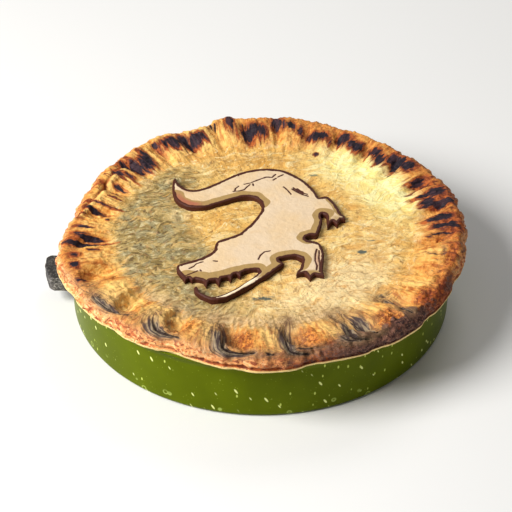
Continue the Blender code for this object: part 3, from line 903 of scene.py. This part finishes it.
def crust_rings():
    """The crust's rings as radius, height, zone and the step between columns.

    The zone is 0 on the lid and 1 at the crest. The lip's marks follow: 2 at its shoulder, 3 where it is
    widest, 4 at its waist, 5 at its foot, 6 at its bottom, 7 at the tin's bead. It is 8 inside the tin.
    """
    angle = np.arange(COLUMNS) * math.tau / COLUMNS
    t = fold_of(angle)
    swell = edge_swell(np.degrees(angle))
    rings = []
    for start, end, count, stride in LID_STRETCHES:
        for radius in np.linspace(start, end, count, endpoint=False):
            rings.append((all_round(radius), all_round(LID_HEIGHT), 0.0, stride))
    for share in np.linspace(0, RIM_END, RIM_RINGS):
        radius = blend(LID_RADIUS, CREST_RADIUS, share) + swell * share
        rings.append((radius, rim_height(t, angle, share), share, 1))
    marks = lip_marks(t, swell, rings[-6], rings[-1])
    for number in range(1, len(marks) - 2):
        four = marks[number - 1:number + 3]
        for step in range(1, LIP_STEPS + 1):
            share = step / LIP_STEPS
            radius, height = (curve_between(*(mark[part] for mark in four), share) for part in (0, 1))
            rings.append((radius, height, number + share, 1))
    bottom, bead = rings[-1], marks[-1]
    for step in range(1, UNDERSIDE_STEPS + 1):
        share = step / UNDERSIDE_STEPS
        rings.append((blend(bottom[0], bead[0], share), blend(bottom[1], bead[1], share), 6 + share, 1))
    for radius, height in cavity_profile(GAP)[:0:-1]:
        rings.append((all_round(radius), all_round(height), 8.0, 1))
    return angle, t, rings


def toward(degrees, stretch):
    """One in the middle of a stretch of the rim, less to both sides."""
    direction, half_width = stretch
    return hill(away(degrees, direction), 0, half_width)


def polar_path(path, degrees, run):
    """Distance to a path given as directions and radii, the side of it and the share along it."""
    middle = path[len(path) // 2][0]
    line = [(math.radians(away(direction, middle)) * RIM_MIDDLE, radius) for direction, radius in path]
    return near_path(np.radians(away(degrees, middle)) * RIM_MIDDLE, run, line)


def crease_fields(degrees, run):
    """The creases' dark lines of painted shadow, combed strands of ash and painted shade, the painted shade
    round them, and the place across and along the nearest.
    """
    crease, comb, haze = np.zeros(run.shape), np.zeros(run.shape), np.zeros(run.shape)
    across_it, along_it = np.zeros(run.shape), np.zeros(run.shape)
    nearest = np.full(run.shape, 1e9)
    for number, (strength, outer, inner, path) in enumerate(CREASES):
        distance, side, along = polar_path(path, degrees, run)
        narrowing = rise(-0.12, 0.16, along) * (1 - 0.75 * rise(0.4, 1.0, along))
        reach = np.where(side > 0, outer, inner) * narrowing
        begun = strength * rise(-0.02, 0.3, along)
        thick = (0.7 + 0.12 * outer) * blend(0.5, 1.0, rise(0.2, 0.7, along))
        crease = np.maximum(crease, begun * np.exp(-(distance / thick) ** 2))
        comb = np.maximum(comb, begun * rise(1.35, 0.3, distance / reach))
        haze = np.maximum(haze, strength * np.exp(-(distance / (1.5 * reach + 2.5)) ** 2))
        closer = distance < nearest
        nearest = np.where(closer, distance, nearest)
        across_it = np.where(closer, side * distance / blend(0.4, 1.0, narrowing), across_it)
        along_it = np.where(closer, along * 36 + number * 50, along_it)
    return crease, comb, haze, across_it, along_it


def char_fields(degrees, run, swirl):
    """Scorched marks that break into strokes inwards, and the red-brown halo round each."""
    fringe = 0.55 * noise(swirl, (1.6, 1.6, 10), 91) + 0.3 * noise(swirl, (3.6, 3.6, 8), 92)
    char, halo = np.zeros(run.shape), np.zeros(run.shape)
    for centre, middle, half_width, half_length, strength in CHAR_MARKS:
        across = np.radians(away(degrees, centre)) * CHAR_MIDDLE / half_width
        inwards = (middle - run) / half_length
        burnt = 1.4 - np.hypot(across, np.where(inwards < 0, 1.25 * inwards, inwards))
        burnt += fringe * (0.5 + 0.6 * rise(-0.8, 0.6, inwards)) * min(1.0, half_width / 2.5)
        char = np.maximum(char, strength * rise(-0.1, 1.0, burnt))
        halo = np.maximum(halo, min(strength, 1.0) * rise(-0.8, 0.6, burnt))
    return char, halo


def soft_spots(x, y, spots):
    """Sum of round patches: middle, radii along X and Y, and strength."""
    total = np.zeros(x.shape)
    for centre_x, centre_y, wide, deep, strength in spots:
        total += strength * np.exp(-((x - centre_x) / wide) ** 2 - ((y - centre_y) / deep) ** 2)
    return total


def rim_spots(degrees, run, spots):
    """The strongest of flat-topped patches: direction, radius, half sizes across and inwards, strength."""
    total = np.zeros(run.shape)
    for centre, middle, wide, deep, strength in spots:
        across = np.radians(away(degrees, centre)) * RIM_MIDDLE / wide
        total = np.maximum(total, strength * np.exp(-across ** 4 - ((run - middle) / deep) ** 4))
    return total


class Skin:
    """The crust before its relief: where the points of its rings lie, and the fields over them."""

    def __init__(self, angle, t, rings):
        self.radius = np.array([ring[0] for ring in rings])
        self.height = np.array([ring[1] for ring in rings])
        everywhere = np.ones(self.radius.shape)
        self.zone = np.array([ring[2] for ring in rings])[:, None] * everywhere
        self.degrees = np.degrees(angle) * everywhere
        self.cosine = np.cos(angle) * everywhere
        self.sine = np.sin(angle) * everywhere
        self.place = np.stack([self.radius * self.cosine, self.radius * self.sine, self.height], axis=-1)
        self.turn = t * everywhere
        # Way from the middle along the surface, which goes on down the lip
        below = np.clip(CREST_HEIGHT - self.height, 0, None)
        self.run = self.radius + 0.9 * below * rise(1.0, 2.0, self.zone)
        self.add_areas()
        self.add_marks()

    def add_areas(self):
        """The crust's parts: lid, rim, outer rim, lip, and the painted light on the lid's edge at the back
        right.
        """
        self.on_lid = 1 - rise(76, 86, self.radius)
        self.on_rim = rise(74, 88, self.radius)
        self.outer = rise(93, 104, self.run)
        self.off_lip = 1 - rise(1.3, 2.2, self.zone)
        self.front = 0.5 + 0.5 * np.cos(np.radians(self.degrees - FRONT))
        self.painted_light = rise(52, 74, self.radius) * rise(96, 84, self.radius)
        self.painted_light *= rise(42, 12, abs(away(self.degrees, PAINTED_LIGHT_SIDE)))

    def add_marks(self):
        """Grain, creases, charred marks, browned and pale presses, and the seam with its pleats."""
        degrees, run = self.degrees, self.run
        slant = 0.12 * (run - LID_RADIUS)
        self.swirl = np.stack([100 * self.cosine + slant * self.sine, 100 * self.sine - slant * self.cosine,
                               run], axis=-1)
        self.streak = rough_noise(self.swirl, (2.0, 2.0, 13), 31)
        self.pebble = rough_noise(self.place, 2.4, 41)
        self.crease, self.comb, self.haze, self.across_it, self.along_it = crease_fields(degrees, run)
        self.char, self.halo = char_fields(degrees, run, self.swirl)
        self.char *= 1 - rise(1.8, 2.8, self.zone)
        self.pad = rim_spots(degrees, run, PADS)
        self.cups = sum(toward(degrees, (direction, CUP_HALF_WIDTH)) * hill(run, middle, CUP_HALF_LENGTH)
                        for direction, middle in SOFT_CUPS)
        seam_away, seam_side, _ = polar_path(SEAM, degrees, run)
        self.seam = hill(seam_away * seam_side, 0.7, 0.9)
        self.seam_ridge = hill(seam_away * seam_side, -1.5, 1.2)
        self.pleats = toward(degrees, PLEATED) * rise(95, 98, run) * rise(110, 105, run)
        self.pleat_wave = noise(self.swirl, (2.6, 2.6, 30), 87)


def crust_relief(skin):
    """How far each point is pushed out: lumps, grain, creases, seam and pleats, and the flaky lip."""
    place, zone = skin.place, skin.zone
    warped = place + 2.0 * np.stack([noise(place, 9, seed) for seed in (11, 12, 13)], axis=-1)
    lumps = LUMP_HEIGHT * rough_noise(warped, (10, 7, 7), 21)
    lumps += SMALL_LUMP_HEIGHT * rough_noise(warped, (3.4, 2.4, 2.4), 25)
    strands = np.stack([skin.across_it, skin.along_it, 0 * skin.along_it], axis=-1)
    hair = noise(strands, (1.7, 9.0, 1.0), 83)
    around = np.stack([100 * skin.cosine, 100 * skin.sine, skin.height], axis=-1)
    ragged = LIP_LAYER_HEIGHT * noise(around, (9, 9, 0.8), 47) + FLAKE_HEIGHT * rough_noise(place, 2.6, 49)

    relief = lumps * blend(1.0, 0.6, skin.on_rim)
    relief += skin.on_rim * GRAIN_HEIGHT * (skin.streak + skin.pebble)
    relief += rise(60, 74, skin.radius) * skin.on_lid * LID_STREAK_HEIGHT * skin.streak
    relief -= CREASE_DEPTH * skin.crease
    relief -= COMB_DEPTH * np.maximum(skin.comb, 0.4 * skin.haze) * (0.3 - hair)
    relief += (PAD_GRAIN_HEIGHT * skin.pad + 0.2 * skin.char) * skin.pebble
    relief += skin.cups * (CUP_FILL + CUP_GRAIN_HEIGHT * skin.pebble)
    relief += SEAM_RIDGE_HEIGHT * skin.seam_ridge - SEAM_DEPTH * skin.seam
    relief += PLEAT_HEIGHT * skin.pleats * skin.pleat_wave
    relief += rise(1.02, 2.0, zone) * ragged - 0.2 * skin.on_rim
    smoother = (1 - 0.8 * rise(3.4, 4.6, zone)) * (1 - rise(6.2, 7.0, zone)) * (1 - 0.45 * skin.painted_light)
    return relief * smoother


def pushed_out(skin, relief):
    """The crust's final points, kept inside the solid's box."""
    run_r = np.gradient(skin.radius, axis=0)
    run_z = np.gradient(skin.height, axis=0)
    length = np.hypot(run_r, run_z) + 1e-9
    radius = skin.radius - run_z / length * relief
    height = skin.height + run_r / length * relief
    shift = CRUST_SHIFT * (skin.zone < 7.5)
    points = np.stack([shift + radius * skin.cosine, radius * skin.sine, height], axis=-1)
    return clipped(points, "pie")


def scorch_masks(skin):
    """Red-brown scorching, and the purple-brown at the lower right, partly char and partly painted shade."""
    degrees, zone, outer = skin.degrees, skin.zone, skin.outer
    frayed = skin.run + 3.6 * noise(skin.swirl, (4, 4, 7), 89)
    stained = rise(232, 256, degrees) * rise(348, 328, degrees)
    under_line = stained * np.maximum(1.3 * hill(zone, 4.0, 0.55), 0.2 * (1 - skin.off_lip))
    browned = rise(262, 272, degrees) * rise(345, 325, degrees) * rise(1.0, 1.5, zone)
    umber = np.maximum(under_line, browned * (0.42 + 0.26 * rise(268, 288, degrees)))
    red = 0.9 * skin.halo * (1 - rise(1.8, 3.0, zone)) + 0.35 * skin.pad * outer + umber
    red += 0.5 * outer * toward(degrees, RIGHT)
    red += 1.1 * skin.pleats * rise(0.0, -0.35, skin.pleat_wave) + 0.6 * skin.seam
    red += 0.3 * toward(degrees, LEFT) * rise(96, 104, skin.run) * skin.off_lip
    red += 0.3 * toward(degrees, SCORCHED_RIGHT) * rise(94, 102, frayed)
    red += 0.3 * toward(degrees, SCORCHED_FRONT) * rise(97, 105, frayed) * skin.off_lip
    # Partly charring and partly painted shade on the lip at the front right.
    soot_and_shade = rise(266, 280, degrees) * rise(332, 316, degrees) * rise(1.0, 1.6, zone)
    soot_and_shade *= 0.5 + 0.3 * rise(284, 296, degrees)
    char_and_shade = np.maximum(rim_spots(degrees, frayed, CHAR_AND_SHADE_SPOTS), soot_and_shade) * rise(5.1, 4.6, zone)
    return {"red": red, "char_and_shade": char_and_shade}


def bake_masks(skin):
    """Toasted and creamy parts of the rim, painted highlights on its ridges, painted light in its soft cups,
    and tan of painted shade.
    """
    degrees, run, zone, on_rim, outer = skin.degrees, skin.run, skin.zone, skin.on_rim, skin.outer
    toast = 0.1 + 0.26 * outer + 0.3 * toward(degrees, RIGHT) + 0.25 * toward(degrees, LEFT) * outer
    toast += 0.3 * toward(degrees, TOASTED_TOP)
    toast = toast * on_rim + 0.8 * skin.pad + 0.5 * skin.seam
    toast -= 0.2 * toward(degrees, UPPER_LEFT) + 0.45 * skin.cups
    phase = FOLDS * (skin.turn - FIRST_FOLD - FOLD_LEAN * np.clip(zone, 0, 1) ** 2) / math.tau
    # Painted highlight: cream on the gentle slope before each ridge's crest, which faces the light,
    # strongest in front.
    ridge_highlight = hill((phase + 0.64) % 1 - 0.5, 0, 0.16) * on_rim * rise(1.3, 1.0, zone)
    cream = ridge_highlight * (0.2 + 0.6 * skin.front) * (1 - 0.5 * outer)
    cream += 0.25 * toward(degrees, TOP) * (1 - outer) * on_rim
    cream += (0.35 * toward(degrees, UPPER_LEFT) + 0.4 * toward(degrees, PALE_TOP)) * on_rim
    # Painted light: cream at PALE_LEFT and in the soft cups lightens the shaded walls of these presses.
    cream += 0.5 * toward(degrees, PALE_LEFT) * hill(run, 91, 6)
    cream = cream * (1 - 0.85 * np.clip(skin.pad, 0, 1)) + 0.8 * skin.seam_ridge + 1.5 * skin.cups
    # Painted shade: tan at the foot of the rim in front and at the left front, and round the creases.
    tan = 0.75 * hill(run, 77.5, 6.5) * rise(240, 252, degrees) * rise(308, 296, degrees)
    tan = np.maximum(tan, 0.75 * toward(degrees, TAN_SHADE_SIDE) * hill(run, 83, 8.5))
    tan = np.maximum(tan, 0.5 * skin.haze * rise(285, 240, degrees) * skin.off_lip)
    return {"toast": toast, "cream": cream, "tan": np.clip(tan, 0, 1)}


def crust_masks(skin):
    """The masks that the crust's finish reads."""
    x, y = skin.place[..., 0], skin.place[..., 1]
    by_lid = hill(skin.radius, 84, 7) * (1 - toward(skin.degrees, LEFT))
    # Painted shade: greyish tan over the lid's left and by its front-left edge.
    grey_shade_edge = toward(skin.degrees, GREY_SHADE_FRONT) * hill(skin.radius, 84, 8)
    above_lip = 1 - rise(2.0, 3.0, skin.zone)
    return {
        "rim": rise(74, 92, skin.radius + 3 * skin.streak),
        "grey_shade": soft_spots(x, y, GREY_SHADE_SPOTS) * skin.on_lid + 0.4 * grey_shade_edge,
        "gold": soft_spots(x, y, GOLD_SPOTS) + 0.5 * by_lid,
        "pale": soft_spots(x, y, PALE_SPOTS),
        "fleck": soft_spots(x, y, FLECKS),
        "painted_light": skin.painted_light,
        # Painted shadow in the creases, painted shade round them, and combed strands partly ash.
        "crease": 0.75 * skin.crease * above_lip,
        "comb": skin.comb * above_lip,
        "haze": skin.haze * above_lip,
        "strand_across": skin.across_it,
        "strand_along": skin.along_it,
        "char": skin.char,
        "lip": 1 - skin.off_lip,
        "edge": rise(4.75, 5.1, skin.zone) * rise(0.2, 0.6, skin.front),
        **bake_masks(skin),
        **scorch_masks(skin),
    }


def ring_faces(strides, starts):
    """Faces between rings. Where the next ring has twice the points, a face takes its middle point too."""
    faces = []
    for ring, (stride, outer_stride) in enumerate(zip(strides, strides[1:])):
        inner, outer = starts[ring], starts[ring + 1]
        for column in range(0, COLUMNS, stride):
            after = (column + stride) % COLUMNS
            face = [inner + column // stride, outer + column // outer_stride]
            if outer_stride < stride:
                face.append(outer + (column + outer_stride) // outer_stride)
            face += [outer + after // outer_stride, inner + after // stride]
            faces.append(tuple(face))
    return faces


def build_crust():
    """One closed skin: the lid, the folded rim, the lip over the bead and the part inside the tin."""
    angle, t, rings = crust_rings()
    skin = Skin(angle, t, rings)
    points = pushed_out(skin, crust_relief(skin))
    strides = [ring[3] for ring in rings]
    starts = np.cumsum([0] + [COLUMNS // stride for stride in strides]).tolist()
    faces = ring_faces(strides, starts)
    first, count = COLUMNS // strides[0], starts[-1]
    faces += [(count, column, (column + 1) % first) for column in range(first)]
    faces += [(count + 1, starts[-2] + (column + 1) % COLUMNS, starts[-2] + column)
              for column in range(COLUMNS)]

    def thinned(values):
        return np.concatenate([values[ring][::stride] for ring, stride in enumerate(strides)])

    ends = [(CRUST_SHIFT, 0.0, points[0][:, 2].mean()), (0.0, 0.0, TIN_WALL + GAP)]
    masks = {}
    for key, values in crust_masks(skin).items():
        kept = thinned(values)
        masks[key] = np.append(kept, [kept[0], kept[-1]])
    piece = add_piece("crust", np.concatenate([thinned(points), ends]), faces, crust_finish(), masks)
    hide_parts("pie")


# The crocodile

def crocodile_outline():
    outline = []
    for kind, marks in CROC_OUTLINE:
        if kind == STRAIGHT:
            outline += marks
            continue
        padded = np.array([marks[0], *marks, marks[-1]])
        for four in zip(padded, padded[1:], padded[2:], padded[3:]):
            for step in range(CROC_CURVE_STEPS):
                outline.append(tuple(curve_between(*four, step / CROC_CURVE_STEPS)))
        outline.append(marks[-1])
    return [mark for mark, after in zip(outline, outline[1:] + outline[:1])
            if math.dist(mark, after) > 0.01]


def inside_distance(x, y, outline):
    """Distance to the outline, positive inside, and the outline's outward direction there."""
    best = np.full(x.shape, 1e9)
    out_x, out_y = np.zeros(x.shape), np.zeros(x.shape)
    within = np.zeros(x.shape, dtype=bool)
    for (ax, ay), (bx, by) in zip(outline, outline[1:] + outline[:1]):
        dx, dy = bx - ax, by - ay
        share = np.clip(((x - ax) * dx + (y - ay) * dy) / (dx * dx + dy * dy), 0.0, 1.0)
        distance = np.hypot(x - ax - share * dx, y - ay - share * dy)
        nearer = distance < best
        best = np.where(nearer, distance, best)
        long = math.hypot(dx, dy)
        out_x = np.where(nearer, -dy / long, out_x)
        out_y = np.where(nearer, dx / long, out_y)
        crosses = (ay > y) != (by > y)
        at = ax + (y - ay) * dx / (dy if dy else 1e-12)
        within ^= crosses & (x < at)
    return np.where(within, best, -best), out_x, out_y


def cut_grid(outline):
    """A fine flat grid inside the outline, each cell that it crosses cut along it.

    Returns the grid's points and faces, and which point of the cut comes after which.
    """
    corners = np.array(outline)
    low = corners.min(axis=0) - CROC_CELL
    high = corners.max(axis=0) + 2 * CROC_CELL
    x, y = np.meshgrid(*(np.arange(low[axis], high[axis], CROC_CELL) for axis in (0, 1)), indexing="ij")
    inside, _, _ = inside_distance(x, y, outline)
    points, numbers = [], {}

    def point_at(first, second):
        """Number of the point where the outline crosses an edge, or of a corner that is given twice."""
        key = (min(first, second), max(first, second))
        if key not in numbers:
            start, end = key
            share = 0.0 if start == end else inside[start] / (inside[start] - inside[end])
            numbers[key] = len(points)
            points.append((blend(x[start], x[end], share), blend(y[start], y[end], share)))
        return numbers[key]

    faces, comes_after = [], {}
    for i, j in np.ndindex(x.shape[0] - 1, x.shape[1] - 1):
        cell = [(i, j), (i + 1, j), (i + 1, j + 1), (i, j + 1)]
        face, leaving, entering = [], None, None
        for corner, after in zip(cell, cell[1:] + cell[:1]):
            if inside[corner] > 0:
                face.append(point_at(corner, corner))
            if (inside[corner] > 0) != (inside[after] > 0):
                face.append(point_at(corner, after))
                if inside[corner] > 0:
                    leaving = face[-1]
                else:
                    entering = face[-1]
        if len(face) > 2:
            faces.append(tuple(face))
            if leaving is not None:
                comes_after[leaving] = entering
    return np.array(points), faces, comes_after


def closed_loops(comes_after):
    left = dict(comes_after)
    loops = []
    while left:
        start = next(iter(left))
        loop, here = [start], left.pop(start)
        while here != start:
            loop.append(here)
            here = left.pop(here)
        loops.append(loop)
    return loops


def crocodile_top(x, y, deep, scored):
    """Height of the top: rounded and lower at the border, uneven, with its lines scored in."""
    place = np.stack([x, y, 0 * x], axis=-1)
    edge = np.clip(deep / CROC_ROUNDING, 0, 1)
    rounding = CROC_ROUNDING * (1 - np.sqrt(1 - (1 - edge) ** 2))
    sunk_border = 0.25 * np.exp(-deep / 3.0)
    uneven = 0.14 * rough_noise(place, 7.0, 73) * edge
    return np.minimum(CROC_TOP - rounding - sunk_border + uneven - CROC_CRACK_DEPTH * scored, CROC_TOP)


def crocodile_masks(x, y, deep, out_y, scored):
    """Where the top is browned, pinkish, tan with painted shade, or pale with painted highlight."""
    place = np.stack([x, y, 0 * x], axis=-1)
    lower_jaw = soft_spots(x, y, JAW_SPOTS)
    jaw = np.clip(lower_jaw, 0, 1)
    faces_back = np.clip(out_y, 0, 1)
    shade_band = np.zeros(x.shape)
    for reach, path in CROC_SHADE_BANDS:
        distance, _, _ = near_path(x, y, path)
        shade_band = np.maximum(shade_band, rise(reach + 0.3, reach - 0.3, distance + 0.4 * noise(place, 5.0, 75)))
    width = (1.5 + 1.2 * faces_back) * (1 - 0.6 * jaw)
    border = rise(width + 0.3, width - 0.2, deep + 0.25 * noise(place, 1.6, 79))
    pink = soft_spots(x, y, TAIL_SPOTS) * rise(7, 2, deep)
    return {
        "brown": np.maximum(border, scored * 0.95),
        "shade_band": np.maximum(shade_band * (1 - jaw), soft_spots(x, y, CLAW_SPOTS)),
        "pink": np.maximum(pink, soft_spots(x, y, LEG_SPOTS)),
        # Painted highlight along the border turned to the back and on the lower jaw.
        "light": 0.8 * faces_back * hill(deep, 1.6, 0.7) + 0.7 * hill(deep, 1.5, 0.6) * lower_jaw,
    }


def build_crocodile():
    """The cut-out: its top on a fine grid, rippled walls below the cut, and a flat underside."""
    outline = crocodile_outline()
    flat, faces, comes_after = cut_grid(outline)
    x, y = flat.T
    deep, out_x, out_y = inside_distance(x, y, outline)
    deep = np.clip(deep, 0, None)
    crack = np.min([near_path(x, y, path)[0] for path in CROC_CRACKS], axis=0)
    crack = np.clip(crack + 0.12 * noise(np.stack([x, y, 0 * x], axis=-1), 1.2, 71), 0, None)
    scored = np.exp(-(crack / CROC_CRACK_WIDTH) ** 2)
    tops = crocodile_top(x, y, deep, scored)
    masks = {key: [values] for key, values in crocodile_masks(x, y, deep, out_y, scored).items()}

    all_points = [np.stack([x, y, tops], axis=-1)]
    total = len(flat)
    for loop in closed_loops(comes_after):
        above = loop
        for share in CROC_WALL_SHARES:
            heights = blend(CROC_SUNK, tops[loop], share)
            ripple = 0.12 * noise(np.stack([x[loop], y[loop], heights], axis=-1), 1.4, 81) - 0.1
            wall_x, wall_y = x[loop] + out_x[loop] * ripple, y[loop] + out_y[loop] * ripple
            all_points.append(np.stack([wall_x, wall_y, heights], axis=-1))
            below = list(range(total, total + len(loop)))
            total += len(loop)
            faces += zip(above, below, below[1:] + below[:1], above[1:] + above[:1])
            for key, values in masks.items():
                values.append(np.full(len(loop), float(key == "brown")))
            above = below
        faces.append(tuple(above[::-1]))
    masks = {key: np.concatenate(values) for key, values in masks.items()}
    piece = add_piece("pastry_crocodile", np.concatenate(all_points), faces, pastry_finish(), masks)
    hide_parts("crocodile")


# Floor, light and camera

def build_floor():
    bpy.ops.mesh.primitive_plane_add(size=FLOOR_SIZE, location=(0, 0, 0))
    floor = bpy.context.object
    floor.name = "floor"
    floor.data.materials.append(floor_finish())


def aim(item, place, target):
    item.location = Vector(place) * MM
    item.rotation_euler = (Vector(target) - Vector(place)).to_track_quat("-Z", "Y").to_euler()


def add_light(name, place, size, power, colour):
    data = bpy.data.lights.new(name, "AREA")
    data.shape = "DISK"
    data.size = size * MM
    data.energy = power
    data.color = colour
    light = bpy.data.objects.new(name, data)
    bpy.context.collection.objects.link(light)
    aim(light, place, LIGHT_TARGET)


def build_light():
    for light in LIGHTS:
        add_light(*light)
    world = bpy.data.worlds.new("soft room")
    world.use_nodes = True
    background = world.node_tree.nodes["Background"]
    background.inputs["Color"].default_value = (1.0, 1.0, 1.0, 1.0)
    background.inputs["Strength"].default_value = ROOM_LIGHT
    bpy.context.scene.world = world


def build_camera():
    data = bpy.data.cameras.new("camera")
    data.lens = CAMERA_LENS
    camera = bpy.data.objects.new("camera", data)
    bpy.context.collection.objects.link(camera)
    aim(camera, CAMERA_PLACE, CAMERA_TARGET)
    bpy.context.scene.camera = camera
    bpy.context.scene.view_settings.view_transform = "Standard"


build_tin()
build_handle()
build_crust()
build_crocodile()
build_floor()
build_light()
build_camera()
